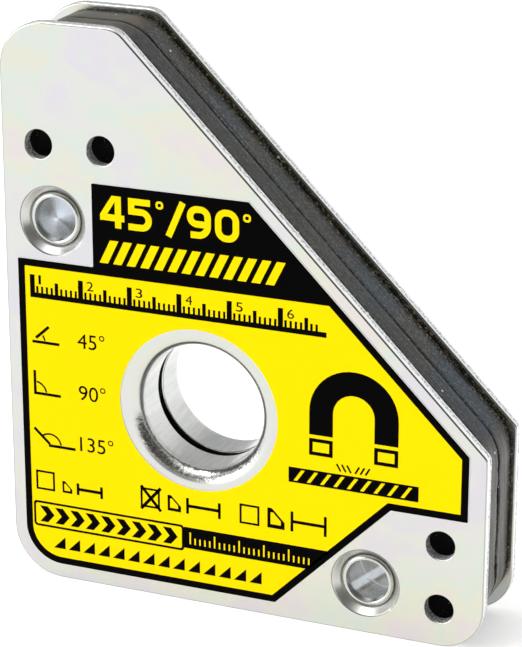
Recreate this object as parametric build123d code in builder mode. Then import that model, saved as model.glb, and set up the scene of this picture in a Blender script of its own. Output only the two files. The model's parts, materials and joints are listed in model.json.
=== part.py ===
"""Magnetic welding square: two riveted steel plates with a two-layer ferrite magnet between them.

Frame: +Z up, +X to the right, front plate's outer face towards -Y. The square stands on its bottom
edges with its origin under the middle of its box. Millimetres.
"""

import os
from math import radians, sqrt, tan

from build123d import *

# ---------------------------------------------------------------- driving dimensions
width = 95.25  # left edge to right edge
height = 109.7  # bottom edge to top edge
thickness = 19.9  # over both plates
plate_t = 2.4  # steel sheet
right_edge_h = 38.0  # bottom edge to the lower end of the 45 degree edge

bottom_left_r = 10.0  # outline corners of the plates
top_left_r = 9.0
bottom_right_r = 8.5
top_bend_r = 5.0  # between the top edge and the 45 degree edge
right_bend_r = 2.0  # between the 45 degree edge and the right edge
arris_r = 0.4  # softened outer edges of the plates

bore_x, bore_z = 39.1, 39.1  # centre of the drawn bore, from the left and bottom edges
bore_r = 12.15
collar_wall = 2.2
collar_gap = 1.9  # air between the two collar ends
bore_roll_r = 3.0  # radius that rolls the face into the bore
collar_root_r = 0.8
collar_lip_r = 0.3  # rounding of the collar's free end

hole_r = 2.8  # four through holes
hole_lip_r = 0.2
hole_edge = 7.5  # first hole from the edge that it stands beside
hole_pitch = 12.6
hole_pair_z = 86.8  # height of the upper pair
hole_pair_x = 86.7  # distance of the lower pair from the left edge

rivet_upper = (10.0, 72.4)  # rivet centres, from the left and bottom edges
rivet_lower = (72.4, 10.1)
seat_r = 6.6  # dimple at the plate's face
seat_slope = 0.85  # radius lost for each millimetre of depth
dimple_depth = 3.6  # face to the end of the pressed boss
tenon_r = 4.2
boss_root_r = 7.6
boss_end_r = 6.2
seat_lip_r = 0.45  # rounding of the dimple's outer edge

rivet_body_r = 5.6  # shoulder that holds the plates apart
rim_depth = 1.0  # face to the top of the rivet's rolled rim
rim_seat_depth = 1.75  # face to where the rim meets the dimple
rim_crown_r = 4.6  # middle of the rolled rim
rim_shoulder_r = 4.98  # rounded outer side of the rim
rim_shoulder_depth = 1.23
mouth_drop = 0.1  # crown down to the recess's mouth
recess_mouth_r = 4.2
recess_r = 3.85
recess_depth = 1.05  # rim top down to the edge of the turned recess
recess_dish = 0.12  # further depth at the recess's middle

magnet_recess = 0.9  # magnets stop this far inside the plates' edges
magnet_corner_r = 10.5
magnet_bend_r = 10.0  # magnets at the two blunt corners
magnet_edge = 0.45  # bevel on the magnets' edges, which leaves the seam between them
magnet_bore_r = 15.6
magnet_rivet_r = 8.0
magnet_hole_r = 3.2

label_t = 0.15
label_left = 2.5
label_bottom = 2.9
label_right = 91.9
label_shoulder_z = 64.6  # top of the wide field, left of the raised block
label_block_x = 18.1  # left side of the raised block
label_top = 80.7
label_top_right_x = 49.4  # upper end of the sloping side
label_right_top_z = 36.6  # lower end of the sloping side
label_notch_z = 25.4  # underside of the part above the lower holes
label_notch_x = 77.2  # inner end of that underside
label_notch_foot_x = 54.6  # where the cut-away meets the bottom side
label_corner_r = 7.6
label_bore_r = 15.85

# ---------------------------------------------------------------- derived sizes
half = thickness / 2
inner = half - plate_t  # plates' inner faces
top_edge = width - (height - right_edge_h)  # length of the top edge before the 45 degree edge
blunt = radians(22.5)
magnet_t = inner  # one layer, from the middle to the plate
hole_places = [
    (hole_edge, hole_pair_z),
    (hole_edge + hole_pitch, hole_pair_z),
    (hole_pair_x, hole_edge),
    (hole_pair_x, hole_edge + hole_pitch),
]
rivet_places = {"rivet_upper": rivet_upper, "rivet_lower": rivet_lower}


def seat_radius(depth):
    """Radius of the rivet seat at a depth below the plate's face."""
    return seat_r - seat_slope * depth


def centred(x, z):
    """A place measured from the left and bottom edges, in the part's frame."""
    return (x - width / 2, z)


def square_outline(inset, corner_rs, top_r, right_r):
    """The five-sided outline, drawn this far inside the square's edges."""
    left, right = -width / 2 + inset, width / 2 - inset
    low, high = inset, height - inset
    slope_shift = inset * tan(blunt)
    upper = (-width / 2 + top_edge - slope_shift, high)
    lower = (right, right_edge_h - slope_shift)
    bottom_left, top_left, bottom_right = corner_rs
    corners = [(left, low), (left, high), upper, lower, (right, low)]
    radii = [bottom_left, top_left, top_r, right_r, bottom_right]
    with BuildSketch(mode=Mode.PRIVATE) as outline:
        with BuildLine():
            Polyline(*corners, close=True)
        make_face()
        for corner, radius in zip(corners, radii):
            fillet(outline.vertices().sort_by_distance(Vector(*corner, 0))[0], radius)
    return outline.sketch


def circles(piece, radius, y):
    """The piece's circular edges of one radius that lie at one depth."""
    rings = piece.edges().filter_by(GeomType.CIRCLE)
    return ShapeList([e for e in rings if abs(e.radius - radius) < 0.001 and abs(e.center().Y - y) < 0.001])


def rivet_plane(place):
    """A plane through the rivet's axis: its x is the radius, its y runs towards the back plate."""
    x, z = centred(*place)
    return Plane(origin=(x, 0, z), x_dir=(1, 0, 0), z_dir=(0, 0, 1))


def rivet_axis(place):
    x, z = centred(*place)
    return Axis((x, 0, z), (0, 1, 0))


# ---------------------------------------------------------------- front plate
with BuildPart() as front_plate:
    with BuildSketch(Plane.XZ.offset(inner)):
        add(square_outline(0, (bottom_left_r, top_left_r, bottom_right_r), top_bend_r, right_bend_r))
    extrude(amount=plate_t)
    rims = front_plate.faces().sort_by(Axis.Y)
    fillet(rims[0].edges() + rims[-1].edges(), arris_r)

    # drawn collar of the bore, pointing inwards
    with BuildSketch(Plane.XZ.offset(collar_gap / 2)):
        with Locations(centred(bore_x, bore_z)):
            Circle(bore_r + collar_wall)
    extrude(amount=inner - collar_gap / 2)
    with BuildSketch(Plane.XZ):
        with Locations(centred(bore_x, bore_z)):
            Circle(bore_r)
    extrude(amount=half, mode=Mode.SUBTRACT)
    fillet(circles(front_plate, bore_r, -half), bore_roll_r)
    fillet(circles(front_plate, bore_r + collar_wall, -inner), collar_root_r)
    lip_y = -collar_gap / 2
    lips = circles(front_plate, bore_r, lip_y) + circles(front_plate, bore_r + collar_wall, lip_y)
    fillet(lips, collar_lip_r)

    # pressed dimples that seat the rivets
    for place in rivet_places.values():
        with BuildSketch(rivet_plane(place)):
            with BuildLine():
                Polyline(
                    (0, -inner),
                    (boss_root_r, -inner),
                    (boss_end_r, dimple_depth - half),
                    (0, dimple_depth - half),
                    close=True,
                )
            make_face()
        revolve(axis=rivet_axis(place))
        neck_depth = (seat_r - tenon_r) / seat_slope
        with BuildSketch(rivet_plane(place)):
            with BuildLine():
                Polyline(
                    (0, -half - 1),
                    (seat_r, -half - 1),
                    (seat_r, -half),
                    (tenon_r, neck_depth - half),
                    (tenon_r, dimple_depth - half + 1),
                    (0, dimple_depth - half + 1),
                    close=True,
                )
            make_face()
        revolve(axis=rivet_axis(place), mode=Mode.SUBTRACT)
    fillet(circles(front_plate, seat_r, -half), seat_lip_r)

    with BuildSketch(Plane.XZ):
        with Locations(*[centred(*place) for place in hole_places]):
            Circle(hole_r)
    extrude(amount=half, mode=Mode.SUBTRACT)
    fillet(circles(front_plate, hole_r, -half) + circles(front_plate, hole_r, -inner), hole_lip_r)

# ---------------------------------------------------------------- back plate
with BuildPart() as back_plate:
    mirror(front_plate.part, about=Plane.XZ)

# ---------------------------------------------------------------- front magnet
with BuildPart() as front_magnet:
    with BuildSketch(Plane.XZ):
        add(square_outline(magnet_recess, (magnet_corner_r,) * 3, magnet_bend_r, magnet_bend_r))
    extrude(amount=magnet_t)
    slab_faces = front_magnet.faces().sort_by(Axis.Y)
    chamfer(slab_faces[0].edges() + slab_faces[-1].edges(), magnet_edge)
    with BuildSketch(Plane.XZ):
        with Locations(centred(bore_x, bore_z)):
            Circle(magnet_bore_r)
        with Locations(centred(*rivet_upper), centred(*rivet_lower)):
            Circle(magnet_rivet_r)
        with Locations(*[centred(*place) for place in hole_places]):
            Circle(magnet_hole_r)
    extrude(amount=magnet_t, mode=Mode.SUBTRACT)

# ---------------------------------------------------------------- back magnet
with BuildPart() as back_magnet:
    mirror(front_magnet.part, about=Plane.XZ)

# ---------------------------------------------------------------- rivets
rivets = {}
for rivet_name, place in rivet_places.items():
    with BuildPart() as rivet:
        with BuildSketch(rivet_plane(place)):
            with BuildLine():
                rim_outer = (seat_radius(rim_seat_depth), rim_seat_depth - half)
                rim_crown = (rim_crown_r, rim_depth - half)
                rim_shoulder = (rim_shoulder_r, rim_shoulder_depth - half)
                mouth = (recess_mouth_r, rim_depth + mouth_drop - half)
                rim_inside = ((rim_crown_r + recess_mouth_r) / 2, rim_depth + mouth_drop / 4 - half)
                recess_edge = (recess_r, rim_depth + recess_depth - half)
                dish = (0, recess_edge[1] + recess_dish)
                neck = (tenon_r, (seat_r - tenon_r) / seat_slope - half)
                Polyline(
                    (0, 0),
                    (rivet_body_r, 0),
                    (rivet_body_r, dimple_depth - half),
                    (tenon_r, dimple_depth - half),
                    neck,
                    rim_outer,
                )
                ThreePointArc(rim_outer, rim_shoulder, rim_crown)
                ThreePointArc(rim_crown, rim_inside, mouth)
                Line(mouth, recess_edge)
                Polyline(recess_edge, dish, (0, 0))
            make_face()
        revolve(axis=rivet_axis(place))
        mirror(about=Plane.XZ)
    rivets[rivet_name] = rivet

# ---------------------------------------------------------------- label
with BuildPart() as front_label:
    with BuildSketch(Plane.XZ.offset(half)) as label_face:
        with BuildLine():
            Polyline(
                *[
                    centred(x, z)
                    for x, z in [
                        (label_left, label_bottom),
                        (label_left, label_shoulder_z),
                        (label_block_x, label_shoulder_z),
                        (label_block_x, label_top),
                        (label_top_right_x, label_top),
                        (label_right, label_right_top_z),
                        (label_right, label_notch_z),
                        (label_notch_x, label_notch_z),
                        (label_notch_foot_x, label_bottom),
                    ]
                ],
                close=True,
            )
        make_face()
        with Locations(centred(bore_x, bore_z)):
            Circle(label_bore_r, mode=Mode.SUBTRACT)
        corner = Vector(*centred(label_left, label_bottom), 0)
        fillet(label_face.vertices().sort_by_distance(corner)[0], label_corner_r)
    extrude(amount=label_t)

# ---------------------------------------------------------------- labels and files
front_plate.part.label = "front_plate"
back_plate.part.label = "back_plate"
front_magnet.part.label = "front_magnet"
back_magnet.part.label = "back_magnet"
front_label.part.label = "front_label"
for rivet_name, rivet in rivets.items():
    rivet.part.label = rivet_name

os.makedirs("parts", exist_ok=True)
export_step(front_plate.part, "parts/front_plate.step")
export_step(back_plate.part, "parts/back_plate.step")
export_step(front_magnet.part, "parts/front_magnet.step")
export_step(back_magnet.part, "parts/back_magnet.step")
export_step(front_label.part, "parts/front_label.step")
for rivet_name, rivet in rivets.items():
    export_step(rivet.part, f"parts/{rivet_name}.step")
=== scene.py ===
"""Magnetic welding square: finishes for its steel, and mesh pieces for its magnets and label.

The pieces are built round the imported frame, in metres, with +Z up and the labelled plate facing -Y.
"""

import json
import math

import bmesh
import bpy
from bpy.props import FloatProperty, FloatVectorProperty, PointerProperty
from bpy.types import Operator, Panel, PropertyGroup
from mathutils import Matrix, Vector, noise
from mathutils.geometry import tessellate_polygon


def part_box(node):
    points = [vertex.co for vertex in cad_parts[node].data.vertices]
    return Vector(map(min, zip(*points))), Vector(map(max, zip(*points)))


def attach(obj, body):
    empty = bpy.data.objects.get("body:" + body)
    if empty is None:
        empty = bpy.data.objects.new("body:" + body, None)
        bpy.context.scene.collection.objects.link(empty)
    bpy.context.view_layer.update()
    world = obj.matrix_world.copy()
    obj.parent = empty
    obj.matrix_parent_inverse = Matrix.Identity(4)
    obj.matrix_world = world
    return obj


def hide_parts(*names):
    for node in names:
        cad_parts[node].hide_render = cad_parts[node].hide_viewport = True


bl_info = {
    "name": "Magnetic welding square",
    "version": (1, 0, 0),
    "blender": (4, 5, 0),
    "location": "View3D > Sidebar > Welding square",
    "description": "Builds the magnets, label, finishes and studio of a magnetic welding square",
    "category": "Add Mesh",
}

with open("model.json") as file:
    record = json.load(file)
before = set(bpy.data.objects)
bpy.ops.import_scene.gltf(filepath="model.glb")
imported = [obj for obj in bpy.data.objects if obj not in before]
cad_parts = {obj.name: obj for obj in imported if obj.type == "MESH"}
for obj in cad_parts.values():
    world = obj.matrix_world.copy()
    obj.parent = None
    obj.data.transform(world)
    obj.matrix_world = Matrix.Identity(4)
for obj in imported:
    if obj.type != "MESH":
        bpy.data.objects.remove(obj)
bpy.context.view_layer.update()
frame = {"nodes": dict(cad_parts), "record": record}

MM = 0.001
BODY = "root"
NODES = frame["nodes"]
MOUNTS = {mount["name"]: mount for mount in frame["record"]["mounts"]}
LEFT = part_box("front_plate")[0].x
FACE_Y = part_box("front_plate")[0].y
LABEL_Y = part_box("front_label")[0].y
BORE = MOUNTS["bore"]["pos_m"]

ROLL_R = (MOUNTS["bore"]["dims"]["r_mm"] + 3.0) * MM  # where the face begins to roll into the bore
HOLE_R = MOUNTS["upper_holes"]["dims"]["hole_r_mm"] * MM
SEAT_R = 6.6 * MM  # mouth of a rivet's dimple
RIM_R = 5.1 * MM  # outside of a rivet's rolled rim
FOLD_R = 4.78 * MM  # low line between the rim's crown and its outer side
RECESS_R = 3.85 * MM  # floor of a rivet's recess


# ---------------------------------------------------------------- sizes and colours
def length(name, description, default):
    """A length in millimetres, kept in metres."""
    default *= MM
    return FloatProperty(name=name, description=description, default=default, unit="LENGTH", precision=5)


def colour(name, description, default):
    return FloatVectorProperty(
        name=name, description=description, default=default, subtype="COLOR", size=3, min=0.0, max=1.0
    )


class SquareSizes(PropertyGroup):
    """Sizes of the mesh pieces that the frame's boxes don't give."""

    magnet_corner: length("Magnet corner radius", "Radius at the magnets' three square corners", 10.5)
    magnet_bend: length("Magnet bend radius", "Radius at the magnets' two blunt corners", 10.0)
    magnet_edge: length("Magnet edge radius", "Rounding of the magnets' edges along the plates", 1.2)
    magnet_bore: length("Magnet bore radius", "Radius of the hole round the collars", 15.6)
    magnet_rivet: length("Magnet rivet hole radius", "Radius of the hole round each rivet", 8.0)
    magnet_hole: length("Magnet small hole radius", "Radius behind each small hole", 3.2)
    seam: length("Seam half width", "Half the gap between the magnets along the slope", 0.13)
    seam_worn: length("Worn seam half width", "Half the gap between the magnets down the right side", 0.55)
    seam_depth: length("Seam depth", "How deep the gap between the magnets goes", 1.8)
    wave: length("Moulding waviness", "How far the magnets' sides wander", 0.04)
    label_corner: length("Label corner radius", "Radius at the label's lower left corner", 7.6)
    label_cut: length("Label bore cut radius", "Radius of the label's round cut", 15.85)
    margin: length("Label margin", "White rim outside the label's printing", 0.12)
    border: length("Label border", "Width of the label's printed border", 1.5)
    ink: length("Ink thickness", "Height of one printed layer", 0.015)


class SquareColours(PropertyGroup):
    """Base colours of the finishes."""

    zinc: colour("Zinc plating", "Bright zinc with a clear passivate", (0.595, 0.600, 0.580))
    torn: colour("Sheared zinc", "The torn part of the plates' cut edges", (0.34, 0.36, 0.39))
    rivet: colour("Rivet steel", "Turned bright steel", (0.50, 0.55, 0.61))
    magnet: colour("Magnet", "Bonded ferrite", (0.020, 0.024, 0.026))
    # used at double strength as brown dust on upward faces, and scaled nearly to black as painted shade
    # beside the plates
    dust_and_shade: colour("Grime", "Brown dust and oil in corners", (0.050, 0.040, 0.028))
    yellow: colour("Label yellow", "Printed vinyl", (1.0, 0.765, 0.0004))
    black: colour("Label black", "Printing ink", (0.0014, 0.0012, 0.0016))
    vinyl: colour("Vinyl", "White vinyl under the printing", (0.80, 0.80, 0.78))
    floor: colour("Floor", "Pale studio floor", (0.86, 0.86, 0.86))


# ---------------------------------------------------------------- outlines
def corner_arc(corner, before, after, radius, step):
    """Points of one rounded corner of a counterclockwise outline, each with its outward direction."""
    into, out = (corner - before).normalized(), (after - corner).normalized()
    start = Vector((into.y, -into.x))
    turn = math.atan2(into.x * out.y - into.y * out.x, into.dot(out))
    side = 1.0 if turn > 0 else -1.0
    centre = corner - into * radius * math.tan(abs(turn) / 2) - start * radius * side
    count = max(2, math.ceil(abs(turn) * radius / step), math.ceil(abs(turn) / math.radians(6)))
    points = []
    for i in range(count + 1):
        cos, sin = math.cos(turn * i / count), math.sin(turn * i / count)
        way = Vector((start.x * cos - start.y * sin, start.x * sin + start.y * cos))
        points.append((centre + way * radius * side, way))
    return points


def rounded_outline(corners, radii, step):
    """A closed counterclockwise outline as (point, outward direction) pairs, at most step apart."""
    corners = [Vector(corner) for corner in corners]
    ring = []
    for i, corner in enumerate(corners):
        ring += corner_arc(corner, corners[i - 1], corners[(i + 1) % len(corners)], radii[i], step)
    dense = []
    for i, (point, way) in enumerate(ring):
        following, next_way = ring[(i + 1) % len(ring)]
        dense.append((point, way))
        gap = (following - point).length
        for k in range(1, math.ceil(gap / step)):
            dense.append((point.lerp(following, k * step / gap), way.lerp(next_way, 0.5).normalized()))
    return dense


def circle_outline(x, z, radius, count):
    """A counterclockwise circle as (point, outward direction) pairs."""
    turns = [2 * math.pi * i / count for i in range(count)]
    ways = [Vector((math.cos(turn), math.sin(turn))) for turn in turns]
    return [(Vector((x, z)) + way * radius, way) for way in ways]


def places(ring):
    return [point for point, _ in ring]


# ---------------------------------------------------------------- mesh building
def new_object(name, data):
    item = bpy.data.objects.new(name, data)
    bpy.context.scene.collection.objects.link(item)
    return item


class Shape:
    """Collects points and faces, then makes one mesh piece of them."""

    def __init__(self):
        self.points = []
        self.faces = []
        self.finishes = []

    def face(self, indices, finish):
        self.faces.append(indices)
        self.finishes.append(finish)

    def row(self, points):
        first = len(self.points)
        self.points += [tuple(point) for point in points]
        return list(range(first, len(self.points)))

    def wall(self, rows, finish=0):
        """Joins closed rows of equal count, one after another."""
        for low, high in zip(rows, rows[1:]):
            for i in range(len(low)):
                k = (i + 1) % len(low)
                self.face((low[i], low[k], high[k], high[i]), finish)

    def cap(self, rows, finish=0):
        """Fills the first closed row, leaving the others as holes."""
        loops = [[Vector((self.points[i][0], self.points[i][2], 0)) for i in row] for row in rows]
        flat = [i for row in rows for i in row]
        for triangle in tessellate_polygon(loops):
            self.face(tuple(flat[i] for i in triangle), finish)

    def slab(self, loops, front, back, finish=0):
        """A flat piece between two depths; loops are lists of 2D points, the first one outside."""
        fronts = [self.row((p[0], front, p[1]) for p in loop) for loop in loops]
        backs = [self.row((p[0], back, p[1]) for p in loop) for loop in loops]
        self.cap(fronts, finish)
        self.cap(backs, finish)
        for near, far in zip(fronts, backs):
            self.wall([near, far], finish)

    def build(self, name, finishes, sharp=35):
        """Makes the object of its points and faces, and gives it its finishes."""
        mesh = bpy.data.meshes.new(name)
        mesh.from_pydata(self.points, [], self.faces)
        for finish in finishes:
            mesh.materials.append(finish)
        mesh.polygons.foreach_set("material_index", self.finishes)
        mesh.polygons.foreach_set("use_smooth", [True] * len(mesh.polygons))
        turn_outwards(mesh)
        mesh.set_sharp_from_angle(angle=math.radians(sharp))
        piece = new_object(name, mesh)
        weighted = piece.modifiers.new("face weighted normals", "WEIGHTED_NORMAL")
        weighted.keep_sharp = True
        return piece


def turn_outwards(mesh):
    """Welds a mesh of closed shells and makes its faces point outwards."""
    working = bmesh.new()
    working.from_mesh(mesh)
    bmesh.ops.remove_doubles(working, verts=working.verts, dist=1e-7)
    bmesh.ops.recalc_face_normals(working, faces=working.faces)
    working.to_mesh(mesh)
    working.free()
    mesh.update()


# ---------------------------------------------------------------- material helpers
class Nodes:
    """Adds nodes to a tree with short calls."""

    def __init__(self, tree):
        self.tree = tree

    def add(self, kind, sockets=None, **settings):
        node = self.tree.nodes.new(kind)
        for key, value in settings.items():
            setattr(node, key, value)
        for key, value in (sockets or {}).items():
            self.set(node.inputs[key], value)
        return node

    def set(self, socket, value):
        if isinstance(value, bpy.types.NodeSocket):
            self.tree.links.new(value, socket)
        else:
            socket.default_value = value

    def math(self, operation, *values):
        return self.add("ShaderNodeMath", dict(enumerate(values)), operation=operation).outputs[0]

    def times(self, product, *factors):
        for factor in factors:
            product = self.math("MULTIPLY", product, factor)
        return product

    def total(self, start, *layers):
        """A start plus the product of each (value, factor) pair."""
        for value, factor in layers:
            start = self.math("MULTIPLY_ADD", value, factor, start)
        return start

    def apart(self, value, other):
        """How far two values are from each other."""
        return self.math("ABSOLUTE", self.math("SUBTRACT", value, other))

    def vector(self, operation, *values):
        node = self.add("ShaderNodeVectorMath", dict(enumerate(values)), operation=operation)
        return node.outputs["Value" if operation in {"LENGTH", "DOT_PRODUCT"} else 0]

    def span(self, value, low, high, start=0.0, end=1.0):
        """Maps low..high smoothly to start..end."""
        sockets = {0: value, 1: low, 2: high, 3: start, 4: end}
        return self.add("ShaderNodeMapRange", sockets, interpolation_type="SMOOTHSTEP").outputs[0]

    def fall(self, value, low, high, start=1.0):
        """Falls smoothly from start to 0 over low..high."""
        return self.span(value, low, high, start, 0.0)

    def noise(self, vector, scale, detail=2.0, roughness=0.5):
        sockets = {"Vector": vector, "Scale": scale, "Detail": detail, "Roughness": roughness}
        return self.add("ShaderNodeTexNoise", sockets).outputs["Fac"]

    def mix(self, amount, first, second, blend="MIX"):
        node = self.add("ShaderNodeMix", data_type="RGBA", blend_type=blend)
        for index, value in ((0, amount), (6, first), (7, second)):
            self.set(node.inputs[index], value)
        return node.outputs[2]

    def coats(self, base, *coats):
        """A base under coats of colour, each an (amount, red green blue) pair."""
        for amount, tint in coats:
            base = self.mix(amount, base, rgba(tint))
        return base

    def split(self, vector):
        return self.add("ShaderNodeSeparateXYZ", {0: vector}).outputs

    def join(self, x, y, z):
        return self.add("ShaderNodeCombineXYZ", {0: x, 1: y, 2: z}).outputs[0]

    def across_y(self, vector, centre):
        """The offset from an axis along Y."""
        return self.vector("MULTIPLY", self.vector("SUBTRACT", vector, tuple(centre)), (1.0, 0.0, 1.0))

    def nearest_axis(self, vector, centres):
        """Distance from the nearest of several axes along Y."""
        reaches = [self.vector("LENGTH", self.across_y(vector, centre)) for centre in centres]
        nearest = reaches[0]
        for reach in reaches[1:]:
            nearest = self.math("MINIMUM", nearest, reach)
        return nearest

    def place_and_facing(self):
        """The place on the piece, and the parts of the direction that its surface faces."""
        where = self.add("ShaderNodeTexCoord").outputs
        return where["Object"], self.split(where["Normal"])

    def group(self, tree, place, **values):
        """A shared group at a place; Ring_scale is its socket Ring scale."""
        sockets = {key.replace("_", " "): value for key, value in values.items()}
        return self.add("ShaderNodeGroup", {"Vector": place, **sockets}, node_tree=tree).outputs

    def dress(self, shader, shade, rough, height, strength=1.0, distance=MM):
        """Colour, roughness and relief of a shader; the height is in units of the distance."""
        bump = self.add("ShaderNodeBump", {"Height": height, "Strength": strength, "Distance": distance})
        sockets = {"Base Color": shade, "Roughness": rough, "Normal": bump.outputs[0]}
        for name, value in sockets.items():
            self.set(shader.inputs[name], value)


VECTOR, FLOAT, COLOUR = "NodeSocketVector", "NodeSocketFloat", "NodeSocketColor"


def rgba(values):
    return (*values, 1.0)


def scaled(values, factor):
    return tuple(value * factor for value in values)


def new_material(name):
    """A material that uses nodes, with its default shader: returns it, its helper and the shader."""
    material = bpy.data.materials.new(name)
    material.use_nodes = True
    shader = material.node_tree.nodes["Principled BSDF"]
    return material, Nodes(material.node_tree), shader


def new_group(name, inputs, outputs):
    """A shader group that takes a Vector and numbers: its tree, helper, given sockets and output node."""
    tree = bpy.data.node_groups.new(name, "ShaderNodeTree")
    for label, default in {"Vector": (0, 0, 0), **inputs}.items():
        kind = {3: VECTOR, 4: COLOUR}[len(default)] if isinstance(default, tuple) else FLOAT
        tree.interface.new_socket(label, in_out="INPUT", socket_type=kind).default_value = default
    for label in outputs:
        kind = COLOUR if label == "Colour" else FLOAT
        tree.interface.new_socket(label, in_out="OUTPUT", socket_type=kind)
    nodes = Nodes(tree)
    return tree, nodes, nodes.add("NodeGroupInput").outputs, nodes.add("NodeGroupOutput").inputs


# ---------------------------------------------------------------- shared effects
def passivate_group():
    """Faint rainbow clouds of a clear passivate over zinc."""
    inputs = {"Base": (0.8, 0.8, 0.8, 1), "Strength": 0.5}
    tree, nodes, given, end = new_group("passivate", inputs, ["Colour"])
    warp = nodes.add("ShaderNodeTexNoise", {"Vector": given["Vector"], "Scale": 30.0, "Detail": 1.5})
    bent = nodes.vector("MULTIPLY_ADD", warp.outputs["Color"], (0.02, 0.02, 0.02), given["Vector"])
    broad, small = nodes.noise(bent, 36.0, 1.5, 0.4), nodes.noise(bent, 110.0, 2.0, 0.5)
    ramp = nodes.add("ShaderNodeValToRGB", {0: nodes.total(nodes.times(broad, 0.65), (small, 0.35))})
    ramp.color_ramp.interpolation = "EASE"
    stops = [
        (0.34, (0.93, 1.00, 0.98)),
        (0.42, (0.97, 0.91, 1.08)),
        (0.48, (1.00, 0.99, 0.99)),
        (0.53, (0.92, 1.02, 0.95)),
        (0.58, (1.02, 1.01, 0.86)),
        (0.66, (1.04, 0.92, 0.98)),
    ]
    elements = ramp.color_ramp.elements
    while len(elements) < len(stops):
        elements.new(0.5)
    for element, (place, tint) in zip(elements, stops):
        element.position = place
        element.color = rgba(tint)
    tinted = nodes.mix(1.0, given["Base"], ramp.outputs["Color"], "MULTIPLY")
    nodes.set(end["Colour"], nodes.mix(given["Strength"], given["Base"], tinted))
    return tree


def grain_group():
    """Fine even grain: a mask about one half and a height."""
    tree, nodes, given, end = new_group("grain", {"Scale": 900.0, "Blotch": 90.0}, ["Mask", "Height"])
    fine = nodes.noise(given["Vector"], given["Scale"], 3.0, 0.6)
    broad = nodes.noise(given["Vector"], given["Blotch"], 3.0, 0.55)
    nodes.set(end["Mask"], nodes.total(nodes.times(fine, 0.4), (broad, 0.6)))
    nodes.set(end["Height"], fine)
    return tree


def ring_group():
    """Marks that follow a circle round an axis along Y, and streaks that run along that axis."""
    inputs = {"Centre": (0, 0, 0), "Ring scale": 4000.0, "Streak scale": 40.0}
    tree, nodes, given, end = new_group("rings", inputs, ["Rings", "Streaks", "Radius"])
    parts = nodes.split(nodes.vector("SUBTRACT", given["Vector"], given["Centre"]))
    flat = nodes.join(parts[0], 0.0, parts[2])
    radius = nodes.vector("LENGTH", flat)
    turned = nodes.join(radius, nodes.times(parts[1], 0.3), 0.0)
    way = nodes.split(nodes.vector("NORMALIZE", flat))
    drawn = nodes.join(way[0], nodes.times(parts[1], 12.0), way[2])
    nodes.set(end["Rings"], nodes.noise(turned, given["Ring scale"], 2.0))
    nodes.set(end["Streaks"], nodes.noise(drawn, given["Streak scale"], 3.0, 0.6))
    nodes.set(end["Radius"], radius)
    return tree


def specks_group():
    """Scattered small specks, such as dust or filings: a mask that is mostly 0."""
    inputs = {"Scale": 700.0, "Size": 0.12, "Share": 0.2}
    tree, nodes, given, end = new_group("specks", inputs, ["Mask"])
    cells = nodes.add("ShaderNodeTexVoronoi", {"Vector": given["Vector"], "Scale": given["Scale"]})
    keep = nodes.math("LESS_THAN", nodes.split(cells.outputs["Color"])[0], given["Share"])
    near = nodes.math("LESS_THAN", cells.outputs["Distance"], given["Size"])
    nodes.set(end["Mask"], nodes.times(keep, near))
    return tree


def shared_groups():
    """The shared node groups, made once."""
    makers = {"passivate": passivate_group, "grain": grain_group}
    makers |= {"rings": ring_group, "specks": specks_group}
    return {name: bpy.data.node_groups.get(name) or make() for name, make in makers.items()}


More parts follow.
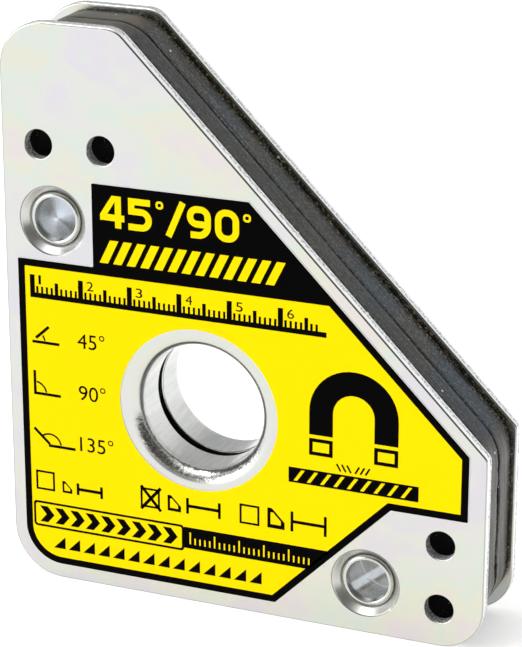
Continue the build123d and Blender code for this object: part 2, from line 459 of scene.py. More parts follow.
# ---------------------------------------------------------------- finishes
def zinc_finish(groups, colours):
    """Satin zinc plating: sheared edges, pressed dimples, a drawn collar, painted dark reflections along
    the edges, the lips and the roll, and painted shade round each rivet's rim.
    """
    material, nodes, shader = new_material("zinc plated sheet")
    place, facing = nodes.place_and_facing()
    flatness = nodes.math("ABSOLUTE", facing[1])
    grain = nodes.group(groups["grain"], place, Scale=2600.0, Blotch=120.0)
    bore = nodes.group(groups["rings"], place, Centre=tuple(BORE), Streak_scale=11.0)
    seat = nodes.nearest_axis(place, rivet_centres())
    hole = nodes.nearest_axis(place, [(x, 0, z) for x, z in small_holes()])

    in_bore = nodes.fall(bore["Radius"], ROLL_R - 0.25 * MM, ROLL_R + 0.05 * MM)
    in_seat = nodes.fall(seat, SEAT_R, SEAT_R + 0.2 * MM)
    in_hole = nodes.fall(hole, HOLE_R + 0.25 * MM, HOLE_R + 0.4 * MM)
    outside = nodes.math("SUBTRACT", 1.0, nodes.math("MAXIMUM", in_bore, in_seat))
    side = nodes.fall(flatness, 0.25, 0.6)
    sheared, punched = nodes.times(side, outside), nodes.times(side, in_hole)
    strength = nodes.total(0.10, (outside, 0.55))
    tint = nodes.group(groups["passivate"], place, Base=rgba(colours.zinc), Strength=strength)["Colour"]

    # across the cut edge: burnished, torn, then a bright burr
    depth = nodes.math("SUBTRACT", -FACE_Y, nodes.math("ABSOLUTE", nodes.split(place)[1]))
    torn_from = nodes.total(0.45 * MM, (nodes.noise(place, 620.0, 3.0, 0.6), 1.1 * MM))
    torn = nodes.span(nodes.math("SUBTRACT", depth, torn_from), -0.07 * MM, 0.07 * MM)
    torn = nodes.times(torn, nodes.fall(depth, 1.80 * MM, 2.00 * MM), sheared)
    front_burr, back_burr = nodes.fall(depth, 0.20 * MM, 0.40 * MM), nodes.span(depth, 1.9 * MM, 2.1 * MM)
    burr = nodes.times(nodes.math("MAXIMUM", front_burr, back_burr), sheared)
    pits = nodes.noise(place, 2300.0, 2.0, 0.7)
    speckle = nodes.span(pits, 0.40, 0.60)

    # painted reflection: thin dark lines along the plates' rounded edges and the dimples' lips; painted
    # shade: the gap round a rim
    arris_reflection = nodes.times(nodes.span(flatness, 0.72, 0.88), nodes.fall(flatness, 0.98, 0.995))
    arris_reflection = nodes.times(arris_reflection, nodes.math("SUBTRACT", outside, in_hole))
    lip = nodes.fall(nodes.apart(seat, SEAT_R + 0.04 * MM), 0.03 * MM, 0.12 * MM)
    line = nodes.math("MAXIMUM", nodes.times(arris_reflection, 0.42), nodes.times(lip, 0.8))
    # painted shade, near black, in the gap between a dimple and its rivet's rim
    rim_gap_shade = nodes.fall(seat, RIM_R - 0.08 * MM, RIM_R)

    # the bore's collar, and the lower half of the roll that leads into it, whose mottled darkening is a
    # painted reflection
    collar = nodes.times(in_bore, nodes.fall(flatness, 0.15, 0.35))
    roll = nodes.times(in_bore, nodes.span(flatness, 0.15, 0.35), nodes.fall(flatness, 0.86, 0.96))
    roll = nodes.times(roll, nodes.span(facing[2], 0.05, 0.35))
    roll_mottle = nodes.span(nodes.noise(place, 1700.0, 3.0, 0.7), 0.42, 0.58)
    roll_reflection = nodes.times(roll, roll_mottle, nodes.span(flatness, 0.40, 0.60))
    scuffed = nodes.times(collar, nodes.span(bore["Streaks"], 0.42, 0.64))

    shade = nodes.coats(
        tint,
        (sheared, (0.88, 0.89, 0.91)),
        (nodes.times(torn, speckle), colours.torn),
        (burr, (0.97, 0.98, 1.0)),
        (nodes.times(scuffed, 0.35), (0.42, 0.46, 0.49)),
        # painted reflection: mottled darkening on the upward-facing lower roll
        (nodes.times(roll_reflection, 0.75), (0.24, 0.24, 0.22)),
        (nodes.times(punched, nodes.total(0.3, (speckle, 0.6))), (0.13, 0.13, 0.12)),
        # painted dark reflections at the edges and lips, then the painted shade of the rim gap
        (line, (0.10, 0.10, 0.095)),
        (rim_gap_shade, (0.012, 0.010, 0.008)),
    )
    rough = nodes.total(0.12, (grain["Mask"], 0.16), (torn, 0.22), (punched, 0.30), (in_seat, 0.14))
    rings = nodes.noise(nodes.join(seat, 0.0, 0.0), 3800.0, 2.0)
    height = nodes.total(
        0.0,
        (grain["Height"], 0.0025),
        (nodes.times(torn, pits), 0.05),
        (nodes.times(roll, nodes.noise(place, 1300.0, 2.0, 0.5)), 0.09),
        (nodes.times(in_seat, rings), 0.010),
        (nodes.times(collar, bore["Streaks"]), 0.010),
    )
    nodes.dress(shader, shade, rough, height)
    nodes.set(shader.inputs["Metallic"], nodes.total(1.0, (punched, -0.65)))
    return material


def turned_fan_sheen(nodes, offset):
    """Painted highlight and painted shade: soft light and dark lobes on a turned recess, 0 dark, 1 light.
    """
    way = nodes.vector("NORMALIZE", offset)
    tone = nodes.span(nodes.vector("LENGTH", offset), 0.4 * MM, 2.0 * MM, 0.62, 0.24)
    light = ((45, 0.20, 1.0, 0.62), (222, 0.55, 1.0, 0.26))
    dark = ((150, 0.50, 1.0, -0.10), (-12, 0.80, 0.97, -0.26))
    for degrees, near, far, gain in light + dark:
        turn = math.radians(degrees)
        towards = nodes.vector("DOT_PRODUCT", way, (math.cos(turn), 0.0, math.sin(turn)))
        tone = nodes.total(tone, (nodes.span(towards, near, far), gain))
    return tone


def brushed_stripe_sheen(nodes, u):
    """A painted highlight stripe and a painted shade stripe along a brushed recess, by the distance across
    it.
    """
    light = nodes.span(nodes.apart(u, 0.3 * MM), 0.5 * MM, 1.0 * MM, 0.80, 0.26)
    return nodes.times(light, nodes.span(nodes.apart(u, -0.95 * MM), 0.1 * MM, 0.5 * MM, 0.45, 1.0))


def rivet_finish(name, groups, colours, centre, brush):
    """Bright steel head: turned rings in the recess, or straight brushing when brush is a direction;
    painted highlight and shade lobes on the recess floor, painted shade round the rim.
    """
    material, nodes, shader = new_material(name)
    place, facing = nodes.place_and_facing()
    sockets = {"Centre": tuple(centre), "Ring_scale": 3200.0, "Streak_scale": 14.0}
    rings = nodes.group(groups["rings"], place, **sockets)
    radius = rings["Radius"]
    grain = nodes.group(groups["grain"], place, Scale=2800.0, Blotch=420.0)
    recess = nodes.fall(radius, RECESS_R - 0.01 * MM, RECESS_R + 0.03 * MM)
    offset = nodes.across_y(place, centre)
    scratch = 0.0
    if brush is None:
        marks = nodes.total(rings["Rings"], (rings["Streaks"], 0.7))
        tone = turned_fan_sheen(nodes, offset)
    else:
        across, along = (-brush[1], 0, brush[0]), (brush[0], 0, brush[1])
        u, v = nodes.vector("DOT_PRODUCT", offset, across), nodes.vector("DOT_PRODUCT", offset, along)
        marks = nodes.noise(nodes.join(u, nodes.times(v, 0.03), 0.0), 4200.0, 2.0)
        tone = brushed_stripe_sheen(nodes, u)
        bow = nodes.nearest_axis(place, [centre + Vector((3.6, 0, 4.4)) * MM])
        scratch = nodes.fall(nodes.apart(bow, 5.4 * MM), 0.04 * MM, 0.09 * MM, 0.8)
    # recess floor: painted highlight and shade lobes, mottled by even grain
    mottled = nodes.math("ADD", tone, nodes.total(-0.5, (grain["Mask"], 1.0)))
    dark = tuple(0.04 + c * 0.12 for c in colours.zinc)
    floor = nodes.mix(nodes.math("MAXIMUM", mottled, scratch), rgba(dark), rgba(colours.rivet))

    # painted shade: a dark line in the rim's low fold, and darker steep sides and outer edge of the rim
    fold_shade = nodes.fall(nodes.apart(radius, FOLD_R), 0.03 * MM, 0.12 * MM, 0.6)
    wall = nodes.fall(nodes.math("ABSOLUTE", facing[1]), 0.35, 0.7)
    wall = nodes.times(wall, nodes.span(radius, RIM_R - 0.5 * MM, RIM_R - 0.4 * MM))
    wall = nodes.math("MAXIMUM", wall, nodes.span(radius, RIM_R - 0.1 * MM, RIM_R - 0.02 * MM))
    rim = nodes.mix(fold_shade, rgba((0.56, 0.57, 0.55)), rgba((0.16, 0.16, 0.15)))
    shade = nodes.coats(nodes.mix(recess, rim, floor), (wall, (0.30, 0.29, 0.27)))
    rough = nodes.total(0.14, (grain["Mask"], 0.14), (recess, 0.08))
    height = nodes.total(0.0, (nodes.times(marks, recess), 0.022), (grain["Height"], 0.002))
    nodes.dress(shader, shade, rough, height)
    shader.inputs["Metallic"].default_value = 1.0
    shader.inputs["Anisotropic"].default_value = 0.4
    tangent = nodes.add("ShaderNodeTangent", direction_type="RADIAL", axis="Y")
    nodes.set(shader.inputs["Tangent"], tangent.outputs[0])
    return material


def magnet_finish(groups, colours):
    """Satin black bonded ferrite: lines along its sides, brown dust on upward faces, pale filings; painted
    sheen on the slope, a painted floor reflection down the right side, painted shade beside the plates.
    """
    material, nodes, shader = new_material("bonded ferrite")
    place, facing = nodes.place_and_facing()
    x, y, z = nodes.split(place)
    grain = nodes.group(groups["grain"], place, Scale=3900.0, Blotch=240.0)
    filings = nodes.group(groups["specks"], place, Scale=520.0, Size=0.15, Share=0.05)["Mask"]
    cells = nodes.add("ShaderNodeTexVoronoi", {"Vector": place, "Scale": 3000.0}).outputs["Color"]
    salt, pepper = (nodes.math("POWER", nodes.split(cells)[i], power) for i, power in ((0, 2.2), (1, 7.0)))

    # along the slope: fine lines, and a painted blue-grey sheen, bluer towards the back and the foot,
    # darker on the front layer
    lines = nodes.noise(nodes.join(nodes.times(x, 0.02), y, nodes.times(z, 0.02)), 2400.0, 3.0, 0.65)
    cool = nodes.span(nodes.total(nodes.noise(place, 60.0, 2.0), (y, 16.0), (z, -2.2)), 0.28, 0.50)
    painted_sheen = nodes.mix(cool, rgba((0.230, 0.225, 0.210)), rgba((0.165, 0.232, 0.305)))
    mottled = nodes.times(nodes.total(0.10, (salt, 0.55)), nodes.span(y, -3.0 * MM, 1.0 * MM, 0.62, 1.0))
    mottled = nodes.times(nodes.span(lines, 0.25, 0.68), mottled)
    slope = nodes.mix(mottled, rgba(scaled(colours.magnet, 0.25)), painted_sheen)

    # down the right side: upright streaks, lightened to brown-grey as a painted reflection of the floor
    streaks = nodes.noise(nodes.join(0.0, y, nodes.times(z, 0.06)), 1100.0, 3.0, 0.7)
    streaks = nodes.times(nodes.span(streaks, 0.38, 0.62), nodes.total(0.4, (salt, 0.6)))
    right = nodes.mix(streaks, rgba((0.030, 0.027, 0.024)), rgba((0.20, 0.19, 0.17)))

    dusty = nodes.times(nodes.span(facing[2], 0.80, 0.97), nodes.span(grain["Mask"], 0.36, 0.64))
    # painted shade: nearly black next to each plate, with brown crumbs
    plate_shade = nodes.span(nodes.math("ABSOLUTE", y), 4.7 * MM, 6.3 * MM)
    crumbs_in_shade = nodes.mix(pepper, rgba(scaled(colours.dust_and_shade, 0.04)), rgba((0.30, 0.25, 0.17)))
    # faces turned to the right take the painted floor reflection, the others the slope's painted sheen
    shade = nodes.mix(nodes.span(facing[0], 0.76, 0.99), slope, right)
    shade = nodes.coats(shade, (dusty, scaled(colours.dust_and_shade, 2.0)))
    shade = nodes.mix(nodes.times(plate_shade, 0.95), shade, crumbs_in_shade)
    shade = nodes.coats(shade, (nodes.times(filings, 0.9), (0.75, 0.73, 0.68)))
    rough = nodes.total(0.20, (grain["Mask"], 0.30), (lines, 0.10), (plate_shade, 0.35))
    height = nodes.total(0.0, (lines, 0.025), (grain["Height"], 0.060), (filings, 0.05))
    nodes.dress(shader, shade, rough, height)
    shader.inputs["Specular IOR Level"].default_value = 0.25
    return material


def hole_shade_finish(groups, colours):
    """The magnets' hole walls, also the seam's groove: rough, nearly black with painted shade, darker than
    the ferrite, with a few bright filings.
    """
    material, nodes, shader = new_material("magnet hole wall")
    place = nodes.add("ShaderNodeTexCoord").outputs["Object"]
    grain = nodes.group(groups["grain"], place, Scale=2200.0, Blotch=500.0)
    filings = nodes.group(groups["specks"], place, Scale=1500.0, Size=0.2, Share=0.10)["Mask"]
    darkest, dark = (rgba(scaled(colours.magnet, share)) for share in (0.12, 0.5))
    shade = nodes.coats(nodes.mix(grain["Mask"], darkest, dark), (filings, (0.55, 0.53, 0.50)))
    rough = nodes.total(0.6, (grain["Mask"], 0.3))
    nodes.dress(shader, shade, rough, grain["Height"], distance=0.04 * MM)
    shader.inputs["Specular IOR Level"].default_value = 0.15
    return material


def print_finish(name, groups, tint, specular):
    """Printed vinyl or ink: even colour with faint mottle and a soft sheen."""
    material, nodes, shader = new_material(name)
    place = nodes.add("ShaderNodeTexCoord").outputs["Object"]
    grain = nodes.group(groups["grain"], place, Scale=3200.0, Blotch=60.0)
    shade = nodes.mix(grain["Mask"], rgba(tint), rgba(scaled(tint, 0.93)))
    rough = nodes.total(0.34, (grain["Mask"], 0.15))
    nodes.dress(shader, shade, rough, grain["Height"], strength=0.12, distance=0.01 * MM)
    shader.inputs["Specular IOR Level"].default_value = specular
    return material


# ---------------------------------------------------------------- steel
def finish_steel(colours):
    """Gives the plates and rivets, whose shapes are the frame's, their finishes."""
    groups = shared_groups()
    zinc = zinc_finish(groups, colours)
    for name in ("front_plate", "back_plate"):
        NODES[name].data.materials[0] = zinc
    brushes = {"rivet_upper": None, "rivet_lower": (0.78, 0.62)}
    for (name, brush), centre in zip(brushes.items(), rivet_centres()):
        NODES[name].data.materials[0] = rivet_finish(f"{name} steel", groups, colours, centre, brush)


def rivet_centres():
    """Places on the two rivets' axes."""
    boxes = [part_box(name) for name in ("rivet_upper", "rivet_lower")]
    return [(low + high) / 2 for low, high in boxes]


# ---------------------------------------------------------------- magnets
def slope_sum(node):
    """x plus z along a node's 45 degree side."""
    return max(vertex.co.x + vertex.co.z for vertex in NODES[node].data.vertices)


def magnet_outline(node, sizes):
    """The five-sided outline of a magnet layer, counterclockwise from the front."""
    low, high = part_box(node)
    slope = slope_sum(node)
    corners = [
        (low.x, low.z),
        (high.x, low.z),
        (high.x, slope - high.x),
        (slope - high.z, high.z),
        (low.x, high.z),
    ]
    round_r, bend_r = sizes.magnet_corner, sizes.magnet_bend
    return rounded_outline(corners, [round_r, round_r, bend_r, bend_r, round_r], 0.4 * MM)


def small_holes():
    """(x, z) of the axes of the four small holes."""
    axes = []
    pairs = (("upper_holes", (1, 0), "spacing_x_mm"), ("lower_holes", (0, 1), "spacing_y_mm"))
    for name, along, key in pairs:
        mount = MOUNTS[name]
        centre = Vector((mount["pos_m"][0], mount["pos_m"][2]))
        axes += [tuple(centre + Vector(along) * mount["dims"][key] * side * MM) for side in (-0.5, 0.5)]
    return axes


def magnet_holes(sizes):
    """(x, z, radius) of every hole through a magnet layer."""
    holes = [(BORE[0], BORE[2], sizes.magnet_bore)]
    holes += [(centre.x, centre.z, sizes.magnet_rivet) for centre in rivet_centres()]
    return holes + [(x, z, sizes.magnet_hole) for x, z in small_holes()]


def magnet_profile(plate_y, seam_y, sizes):
    """(distance in from the side, depth, share of the seam's half width) from the plate to the seam."""
    way = 1 if seam_y > plate_y else -1
    rows = []
    for degrees in (0, 22, 45, 68, 90):
        turn = math.radians(degrees)
        inward, deep = (sizes.magnet_edge * (1 - part) for part in (math.sin(turn), math.cos(turn)))
        rows.append((inward, plate_y + way * deep, 0.0))
    lip = ((0.0, 0.35), (0.07, 0.12), (0.30, 0.0))  # millimetres in from the side and short of the seam
    start, end = rows[-1][1], seam_y - way * lip[0][1] * MM
    rows += [(0.0, start + (end - start) * k / 6, 0.0) for k in range(1, 6)]
    rows += [(inward * MM, seam_y - way * short * MM, 1.0) for inward, short in lip]
    return rows + [(sizes.seam_depth * 0.6, seam_y, 0.8), (sizes.seam_depth, seam_y, 0.0)]


def weathered(point, way, row, facing_seam, sizes, seed):
    """A point on a magnet's side, wandering a little, with a ragged seam that is widest on the right."""
    inward, y, share = row
    spot = Vector((point.x, y, point.y)) / MM
    wander = (noise.noise(spot * 0.11 + Vector((seed, 0, 0))) - 1) * sizes.wave
    right = max(0.0, way.x) ** 8
    half = sizes.seam + (sizes.seam_worn - sizes.seam) * right
    along = Vector((point.x, 0, point.y)) / MM + Vector((0, seed, 0))
    waves = ((0.17, 0.9), (0.9, 0.35), (2.3, 0.2))  # pitch per millimetre, gain
    ragged = sum(noise.noise(along * pitch) * gain for pitch, gain in waves)
    half = max(0.03 * MM, half * (1 + ragged * (1.0 + 0.5 * right)))
    reach = wander - inward
    return (point.x + way.x * reach, y - facing_seam * half * share, point.y + way.y * reach)


def make_magnet(name, node, plate_y, seam_y, sizes, seed, finishes):
    """One magnet layer, from its plate to the seam."""
    shape = Shape()
    outline = magnet_outline(node, sizes)
    facing_seam = 1 if seam_y > plate_y else -1
    rows = []
    for row in magnet_profile(plate_y, seam_y, sizes):
        rows.append(shape.row(weathered(p, way, row, facing_seam, sizes, seed) for p, way in outline))
    shape.wall(rows[:-2])
    # the seam's groove, the hole walls and the seam face take the second, darker finish: painted shade
    shape.wall(rows[-3:], 1)
    holes = [places(circle_outline(x, z, radius, 72)) for x, z, radius in magnet_holes(sizes)]
    plate_rows = [shape.row((p.x, plate_y, p.y) for p in ring) for ring in holes]
    seam_rows = [shape.row((p.x, seam_y, p.y) for p in ring) for ring in holes]
    for near, far in zip(plate_rows, seam_rows):
        shape.wall([near, far], 1)
    shape.cap([rows[0], *plate_rows])
    shape.cap([rows[-1], *seam_rows], 1)
    piece = shape.build(name, finishes)
    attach(piece, BODY)
    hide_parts(node)


def make_magnets(sizes, colours):
    """Both layers, from their plates to the seam between them."""
    groups = shared_groups()
    finishes = [magnet_finish(groups, colours), hole_shade_finish(groups, colours)]
    front_low, front_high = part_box("front_magnet")
    back_low, back_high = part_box("back_magnet")
    make_magnet("front_magnet_layer", "front_magnet", front_low.y, front_high.y, sizes, 3.7, finishes)
    make_magnet("back_magnet_layer", "back_magnet", back_high.y, back_low.y, sizes, 9.2, finishes)


# ---------------------------------------------------------------- label
def on_label(x, z):
    """A place in millimetres from the square's left and bottom edges, as a 2D point in metres."""
    return Vector((LEFT + x * MM, z * MM))


def moved(points, x, z):
    """Points in millimetres from a place on the label, as 2D points in metres."""
    return [on_label(x + dx, z + dz) for dx, dz in points]


def label_corners(inset):
    """The label's outline, drawn this far inside its edges, counterclockwise from the lower left."""
    low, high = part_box("front_label")
    slope = slope_sum("front_label") - inset * math.sqrt(2)
    tight = inset * math.tan(math.radians(22.5))
    foot = on_label(54.6, 0).x
    notch = on_label(77.2, 25.4)
    block = on_label(18.1, 64.6)
    return [
        (low.x + inset, low.z + inset),
        (foot - tight, low.z + inset),
        (notch.x - tight, notch.y + inset),
        (high.x - inset, notch.y + inset),
        (high.x - inset, slope - (high.x - inset)),
        (slope - (high.z - inset), high.z - inset),
        (block.x + inset, high.z - inset),
        (block.x + inset, block.y - inset),
        (low.x + inset, block.y - inset),
    ]


def vinyl_y(sizes):
    """Depth of the vinyl's front, under three printed layers."""
    return LABEL_Y + 3 * sizes.ink


def field_corners(sizes):
    """The yellow field inside the border, below the title block."""
    inner = label_corners(sizes.border)
    slope, top = inner[4][0] + inner[4][1], inner[8][1]
    return [*inner[:5], (slope - top, top), inner[8]]


def label_loop(sizes, inset):
    """The label's outline with its corners rounded, drawn this far inside its edges."""
    radii = [sizes.label_corner - inset] + [0.25 * MM] * 8
    return places(rounded_outline(label_corners(inset), radii, 4 * MM))


def label_cut_loop(radius):
    return places(circle_outline(BORE[0], BORE[2], radius, 144))


def make_label(sizes, colours):
    """The white vinyl sheet under the printing."""
    finish = print_finish("white vinyl", shared_groups(), colours.vinyl, 0.3)
    shape = Shape()
    shape.slab([label_loop(sizes, 0), label_cut_loop(sizes.label_cut)], vinyl_y(sizes), FACE_Y)
    piece = shape.build("label_vinyl", [finish])
    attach(piece, BODY)
    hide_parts("front_label")


def box_loop(x0, z0, x1, z1):
    return [on_label(x0, z0), on_label(x1, z0), on_label(x1, z1), on_label(x0, z1)]


def round_box_loop(x0, z0, x1, z1, radius):
    return places(rounded_outline(box_loop(x0, z0, x1, z1), [radius * MM] * 4, 1 * MM))


def band_loop(x, z, inner, outer, start, end, count=24):
    """A curved band about a centre, between two radii in millimetres and two angles in degrees."""
    turns = [math.radians(start + (end - start) * i / count) for i in range(count + 1)]
    outside = [on_label(x + outer * math.cos(t), z + outer * math.sin(t)) for t in turns]
    inside = [on_label(x + inner * math.cos(t), z + inner * math.sin(t)) for t in reversed(turns)]
    return outside + inside


def bar_loop(x0, z0, x1, z1, width):
    """A straight bar of one width between two places."""
    start, end = Vector((x0, z0)), Vector((x1, z1))
    along = (end - start).normalized()
    side = Vector((-along.y, along.x)) * width / 2
    return [on_label(*p) for p in (start - side, end - side, end + side, start + side)]


def rounded_line(points, radii, step=0.15):
    """Points along an open line in millimetres whose inner corners are rounded."""
    points = [Vector(point) for point in points]
    line = [points[0]]
    for before, corner, after, radius in zip(points, points[1:], points[2:], radii):
        if radius:
            line += places(corner_arc(corner, before, after, radius, step))
        else:
            line.append(corner)
    return [*line, points[-1]]


def stroke_loop(line, width):
    """The outline of a pen stroke along a line, mitred at its corners."""
    near, far = [], []
    for i, point in enumerate(line):
        into = (point - line[max(i - 1, 0)]).normalized()
        out = (line[min(i + 1, len(line) - 1)] - point).normalized()
        into, out = (out, out) if i == 0 else (into, into if i == len(line) - 1 else out)
        mean = (into + out).normalized()
        side = Vector((-mean.y, mean.x)) * (width / 2 / max(0.35, mean.dot(out)))
        near.append(point - side)
        far.append(point + side)
    return [on_label(*point) for point in near + far[::-1]]


def ring_loops(x0, z0, x1, z1, radius, width):
    """The two outlines of a rounded ring that fills a box in millimetres."""
    inner = (x0 + width, z0 + width, x1 - width, z1 - width)
    return round_box_loop(x0, z0, x1, z1, radius), round_box_loop(*inner, max(0.2, radius - width))


class Print:
    """One piece of printing on the label, in up to three layers of ink."""

    def __init__(self, sizes):
        self.sizes = sizes
        self.vinyl = vinyl_y(sizes)
        self.shape = Shape()

    def depth(self, level):
        """Depth of a layer's top, counted up from the vinyl."""
        return self.vinyl - level * self.sizes.ink

    def layer(self, loops, level, finish):
        self.shape.slab(loops, self.depth(level), self.depth(level - 1), finish)

    def black(self, *loops, level=2):
        self.layer(loops, level, 0)

    def yellow(self, *loops, level=3):
        self.layer(loops, level, 1)

    def numerals(self, text, x, z, tall, wide):
        """Black figures from the plain built-in font, fitted into a box whose lower left is at (x, z)."""
        curve = bpy.data.curves.new("figures", "FONT")
        curve.body = text
        curve.extrude = 0.5
        curve.resolution_u = 6
        holder = new_object("figures", curve)
        flat = bpy.data.meshes.new_from_object(holder.evaluated_get(bpy.context.evaluated_depsgraph_get()))
        spots = [vertex.co.copy() for vertex in flat.vertices]
        low = Vector(min(spot[i] for spot in spots) for i in range(3))
        size = Vector(max(spot[i] for spot in spots) for i in range(3)) - low
        placed = []
        for spot in spots:
            u, v, w = ((spot[i] - low[i]) / size[i] for i in range(3))
            corner = on_label(x + u * wide, z + v * tall)
            placed.append((corner.x, self.depth(1 + w), corner.y))
        row = self.shape.row(placed)
        for polygon in flat.polygons:
            self.shape.face(tuple(row[i] for i in polygon.vertices), 0)
        bpy.data.objects.remove(holder)
        bpy.data.curves.remove(curve)
        bpy.data.meshes.remove(flat)

    def finish(self, name, inks):
        piece = self.shape.build(name, inks, sharp=20)
        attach(piece, BODY)


def print_border(ink):
    """Black border and title block round the yellow field."""
    sizes = ink.sizes
    field_radii = [sizes.label_corner - sizes.border] + [0.15 * MM] * 6
    field = places(rounded_outline(field_corners(sizes), field_radii, 4 * MM))
    cut = label_cut_loop(sizes.label_cut + sizes.margin / 3)
    ink.yellow(label_loop(sizes, sizes.margin * 2), cut, level=1)
    ink.black(label_loop(sizes, sizes.margin), field)


def print_title(ink):
    """Angle figures and a slanted stripe row on the title block."""
    low, tall, wide, pen = 72.6, 6.1, 4.7, 1.25
    top, half = low + tall, pen / 2

    # the first angle: two figures and a degree ring
    outside = [(3.0, 0), (3.0 + pen, 0), (3.0 + pen, 1.3), (wide + 0.2, 1.3), (wide + 0.2, 1.3 + pen)]
    outside += [(3.0 + pen, 1.3 + pen), (3.0 + pen, tall), (2.4, tall), (0, 2.4), (0, 1.3), (3.0, 1.3)]
    hole = [(3.0, 1.3 + pen), (3.0, 5.0), (1.45, 1.3 + pen)]
    ink.yellow(moved(outside, 19.9, low), moved(hole, 19.9, low))
    x = 25.6
    five = [(x + wide - 0.3, top - half), (x + half, top - half), (x + half, low + 3.6)]
    five += [(x + wide - half, low + 3.6), (x + wide - half, low + half), (x, low + half)]
    ink.yellow(stroke_loop(rounded_line(five, [0, 0, 1.45, 1.45]), pen))
    ink.yellow(*ring_loops(31.1, top - 1.5, 32.6, top, 0.6, 0.42))
    ink.yellow(bar_loop(33.6, low - 0.3, 36.5, top + 0.3, pen))

    # after the slanted bar, the second angle
    x = 37.3
    nine = [(x + wide - pen, low + 2.7), (x + half, low + 2.7), (x + half, top - half)]
    nine += [(x + wide - half, top - half), (x + wide - half, low + half), (x + 0.7, low + half)]
    ink.yellow(stroke_loop(rounded_line(nine, [1.3, 1.4, 1.4, 1.9]), pen))
    x = 42.8
    ink.yellow(*ring_loops(x, low, x + wide, top, 2.2, pen))
    ink.yellow(*ring_loops(48.3, top - 1.9, 49.8, top - 0.4, 0.6, 0.42))

    for i in range(13):
        ink.yellow(moved([(0, 0), (1.7, 0), (3.9, 4.5), (2.2, 4.5)], 19.6 + i * 2.75, 65.6))


def print_rule(ink):
    """A bold rule across the field, divided in millimetres with centimetre figures."""
    ink.black(box_loop(5.0, 57.0, 64.4, 58.0))
    for i in range(58):
        tall, wide = (3.5, 1.0) if i % 10 == 0 else (2.3, 0.7) if i % 5 == 0 else (1.3, 0.45)
        x = 5.5 + i
        ink.black(box_loop(x - wide / 2, 58.0, x + wide / 2, 58.0 + tall))
    for i in range(6):
        ink.numerals(str(i + 1), 6.8 + 10 * i, 59.7, 1.8, 0.5 if i == 0 else 1.35)


def print_angle_marks(ink):
    """Three marks that show the angles the square holds, with their figures."""
    pen, reach = 0.56, 4.6
    for angle, z in ((45, 48.2), (90, 37.8), (135, 27.4)):
        corner = 8.2 if angle > 90 else 5.4
        across, up = math.cos(math.radians(angle)), math.sin(math.radians(angle))
        lead = 0.68 if angle < 90 else 0.0  # a sharp angle's arm starts clear of its level line
        foot = (corner + lead * across, z + pen / 2 + lead * up)
        ink.black(bar_loop(corner - pen / 2, z, corner + 5.4, z, pen))
        ink.black(bar_loop(*foot, corner + reach * across, z + reach * up, pen))
        ink.black(band_loop(corner, z, 2.2, 2.55, 9, angle - 9))
        ink.numerals(f"{angle}°", 14.6, z - 0.1, 3.1, 7.0 if angle > 90 else 5.6)


def print_magnet_mark(ink):
    """A horseshoe magnet over a bar of stock."""
    x, z = 69.8, 42.6
    arch, leg = band_loop(x, z, 4.0, 8.6, 0, 180), Vector((0, -4.6)) * MM
    half = len(arch) // 2
    left_foot = [arch[half - 1] + leg, arch[half] + leg]
    ink.black([*arch[:half], *left_foot, *arch[half:], arch[-1] + leg, arch[0] + leg])
    for side in (-1, 1):
        near, far = sorted((x + side * 4.0, x + side * 8.6))
        inside = box_loop(near + 0.7, z - 7.9, far - 0.7, z - 6.0)
        ink.black(box_loop(near, z - 8.6, far, z - 5.3), inside)
        for step in range(3):
            ink.black(bar_loop(x + side * (1.2 + step), z - 9.6, x + side * (0.4 + step), z - 11.0, 0.35))
    ink.black(box_loop(x - 12.6, z - 14.6, x + 12.6, z - 11.6))
    for step in range(9):
        stripe = [(0, -14.2), (0.7, -14.2), (2.2, -12.0), (1.5, -12.0)]
        ink.yellow(moved(stripe, x - 11.6 + step * 2.6, z))


def print_size_boxes(ink):
    """Three tick boxes with outlines of a small, a middle and a large square; the middle is crossed."""
    for i, x in enumerate((5.0, 27.1, 47.4)):
        ink.black(box_loop(x, 18.0, x + 4.0, 22.0), box_loop(x + 0.42, 18.42, x + 3.58, 21.58))
        tall = (2.4, 3.2, 4.0)[i]
        left = x + 5.6
        outer = [(0, 0), (0.86, 0), (0.86, 0.35), (0.22, 1), (0, 1)]
        shape = [on_label(left + u * tall, 18.1 + v * tall) for u, v in outer]
        middle = sum(shape, Vector((0, 0))) / len(shape)
        ink.black(shape, [point.lerp(middle, 0.4) for point in shape])
        start, end = left + tall + 0.9, left + tall + 0.9 + (5.0, 6.5, 6.6)[i]
        ink.black(bar_loop(start, 18.1 + tall / 2, end, 18.1 + tall / 2, 0.62))
        for edge in (start, end):
            ink.black(bar_loop(edge, 18.1, edge, 18.1 + tall, 0.55))
    for low, high in ((17.6, 22.3), (22.3, 17.6)):
        ink.black(bar_loop(27.2, low, 31.3, high, 0.62))


def print_foot(ink):
    """The framed chevron row, the divided band beside it and the row of set squares below."""
    ink.black(round_box_loop(4.3, 10.3, 36.0, 15.6, 0.7), round_box_loop(4.75, 10.75, 35.55, 15.15, 0.4))
    chevron = [(0, 0), (1.7, 0), (3.1, 1.65), (1.7, 3.3), (0, 3.3), (1.4, 1.65)]
    for i in range(9):
        ink.black(moved(chevron, 5.6 + i * 3.25, 11.3))
    ink.black(moved([(0, 0), (25.2, 0), (29.5, 4.3), (0, 4.3)], 36.0, 11.0))
    for i in range(25):
        tall = 2.4 if i % 5 == 0 else 1.3
        x = 37.3 + i
        ink.yellow(box_loop(x - 0.15, 11.9, x + 0.15, 11.9 + tall))
    for i in range(14):
        ink.black(moved([(0, 0), (2.5, 0), (2.5, 2.5)], 8.4 + i * 3.15, 6.2))


PRINTING = {
    "label_border": print_border,
    "label_title": print_title,
    "label_rule": print_rule,
    "label_angle_marks": print_angle_marks,
    "label_magnet_mark": print_magnet_mark,
    "label_size_boxes": print_size_boxes,
    "label_foot": print_foot,
}


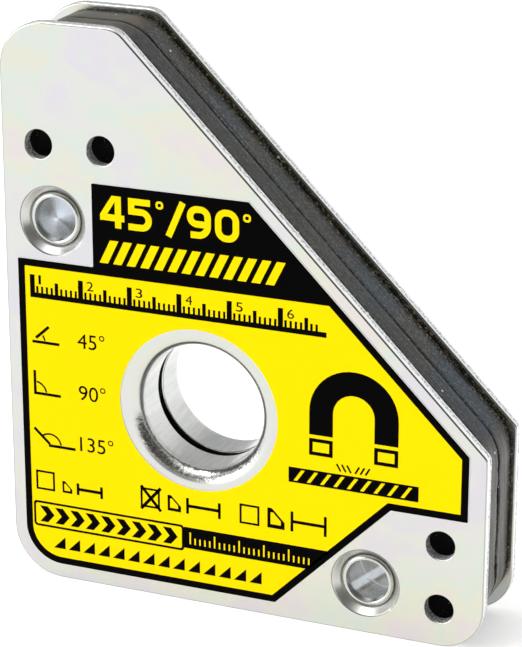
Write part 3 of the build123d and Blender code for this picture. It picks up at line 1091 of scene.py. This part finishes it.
def print_label(sizes, colours):
    """All the printing, as separate thin pieces."""
    groups = shared_groups()
    black = print_finish("black ink", groups, colours.black, 0.015)
    yellow = print_finish("yellow ink", groups, colours.yellow, 0.02)
    for name, draw in PRINTING.items():
        ink = Print(sizes)
        draw(ink)
        ink.finish(name, [black, yellow])


# ---------------------------------------------------------------- stage
def make_floor(colours):
    """A pale floor that glows a little, as the cloth of a light tent does."""
    material, nodes, shader = new_material("studio floor")
    mottle = nodes.noise(nodes.add("ShaderNodeTexCoord").outputs["Object"], 3.0, 2.0)
    darker = rgba(scaled(colours.floor, 0.985))
    nodes.set(shader.inputs["Base Color"], nodes.mix(mottle, rgba(colours.floor), darker))
    shader.inputs["Roughness"].default_value = 0.9
    shader.inputs["Specular IOR Level"].default_value = 0.0
    shader.inputs["Emission Color"].default_value = (1.0, 1.0, 1.0, 1.0)
    shader.inputs["Emission Strength"].default_value = 0.45
    mesh = bpy.data.meshes.new("studio_floor")
    reach = 6.0
    corners = [(-reach, -reach, 0), (reach, -reach, 0), (reach, reach, 0), (-reach, reach, 0)]
    mesh.from_pydata(corners, [], [(0, 1, 2, 3)])
    mesh.materials.append(material)
    new_object("studio_floor", mesh)


def make_world():
    """A pale room: bright above, at the front left and behind the right, dark at the front right."""
    world = bpy.data.worlds.new("pale room")
    bpy.context.scene.world = world
    world.use_nodes = True
    nodes = Nodes(world.node_tree)
    background = world.node_tree.nodes["Background"]
    way = nodes.add("ShaderNodeTexCoord").outputs["Generated"]

    def patch(direction, near, far, start=0.0, end=1.0):
        towards = nodes.vector("DOT_PRODUCT", way, tuple(Vector(direction).normalized()))
        return nodes.span(towards, near, far, start, end)

    behind = patch((-0.30, 0.90, 0.30), 0.5, 0.9)
    room = nodes.mix(behind, rgba((0.74, 0.74, 0.73)), rgba((0.60, 0.60, 0.59)))
    dark = patch((-0.15, -0.95, 0.30), 0.88, 0.96, 0.0, 0.7)
    dark = nodes.math("MAXIMUM", patch((0.60, -0.70, 0.38), 0.66, 0.84), dark)
    room = nodes.mix(dark, room, rgba((0.145, 0.138, 0.125)))
    strength = patch((-0.29, -0.20, 0.93), 0.89, 0.966, 1.05, 3.3)
    glows = (((-0.75, -0.65, 0.12), 0.89, 0.96, 5.0), ((0.37, 0.92, 0.10), 0.80, 0.98, 0.65))
    for direction, near, far, gain in glows:
        strength = nodes.math("ADD", strength, patch(direction, near, far, 0.0, gain))
    nodes.set(background.inputs["Color"], room)
    nodes.set(background.inputs["Strength"], strength)


def make_light(name, towards, spread, strength):
    """A distant soft light whose rays come from one direction, spread over a disc."""
    lamp = bpy.data.lights.new(name, "SUN")
    lamp.angle = math.radians(spread)
    lamp.energy = strength
    holder = new_object(name, lamp)
    holder.rotation_euler = (-Vector(towards)).to_track_quat("-Z", "Y").to_euler()


def make_camera():
    """A long lens in front of the square, to its right and a little above it."""
    camera = bpy.data.cameras.new("camera")
    camera.sensor_width = 36.0
    camera.lens = 141.29
    camera.shift_x, camera.shift_y = -0.0015, -0.0006
    camera.clip_start = 0.01
    holder = new_object("camera", camera)
    holder.location = (0.1695, -0.4089, 0.2115)
    azimuth, elevation = math.radians(22.501), math.radians(19.559)
    holder.rotation_euler = (math.pi / 2 - elevation, 0.0, azimuth)
    bpy.context.scene.camera = holder


def make_stage(colours):
    make_floor(colours)
    make_world()
    make_light("overhead softbox", (-0.36, -0.20, 0.91), 26, 0.5)
    make_camera()
    bpy.context.scene.view_settings.view_transform = "Standard"


# ---------------------------------------------------------------- operators and panel
def settings():
    return bpy.context.scene.square_sizes, bpy.context.scene.square_colours


class SQUARE_OT_finish_steel(Operator):
    """Give the plates and rivets their metal finishes"""

    bl_idname = "square.finish_steel"
    bl_label = "Finish plates and rivets"

    def execute(self, context):
        finish_steel(settings()[1])
        return {"FINISHED"}


class SQUARE_OT_make_magnets(Operator):
    """Build the two magnet layers"""

    bl_idname = "square.make_magnets"
    bl_label = "Magnet layers"

    def execute(self, context):
        make_magnets(*settings())
        return {"FINISHED"}


class SQUARE_OT_make_label(Operator):
    """Build the vinyl label"""

    bl_idname = "square.make_label"
    bl_label = "Label vinyl"

    def execute(self, context):
        make_label(*settings())
        return {"FINISHED"}


class SQUARE_OT_print_label(Operator):
    """Print the label's border, figures and marks"""

    bl_idname = "square.print_label"
    bl_label = "Label printing"

    def execute(self, context):
        print_label(*settings())
        return {"FINISHED"}


class SQUARE_OT_make_stage(Operator):
    """Set up the floor, room light and camera"""

    bl_idname = "square.make_stage"
    bl_label = "Studio"

    def execute(self, context):
        make_stage(settings()[1])
        return {"FINISHED"}


STEPS = (
    SQUARE_OT_finish_steel,
    SQUARE_OT_make_magnets,
    SQUARE_OT_make_label,
    SQUARE_OT_print_label,
    SQUARE_OT_make_stage,
)


class SQUARE_PT_panel(Panel):
    """Lists the steps that build the welding square"""

    bl_idname = "SQUARE_PT_panel"
    bl_label = "Welding square"
    bl_space_type = "VIEW_3D"
    bl_region_type = "UI"
    bl_category = "Welding square"

    def draw(self, context):
        for step in STEPS:
            self.layout.operator(step.bl_idname)


CLASSES = (SquareSizes, SquareColours, *STEPS, SQUARE_PT_panel)


def register():
    for item in CLASSES:
        bpy.utils.register_class(item)
    bpy.types.Scene.square_sizes = PointerProperty(type=SquareSizes)
    bpy.types.Scene.square_colours = PointerProperty(type=SquareColours)


def unregister():
    del bpy.types.Scene.square_colours
    del bpy.types.Scene.square_sizes
    for item in reversed(CLASSES):
        bpy.utils.unregister_class(item)


def main():
    """Registers the add-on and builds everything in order."""
    register()
    bpy.ops.square.finish_steel()
    bpy.ops.square.make_magnets()
    bpy.ops.square.make_label()
    bpy.ops.square.print_label()
    bpy.ops.square.make_stage()


if __name__ == "__main__":
    main()
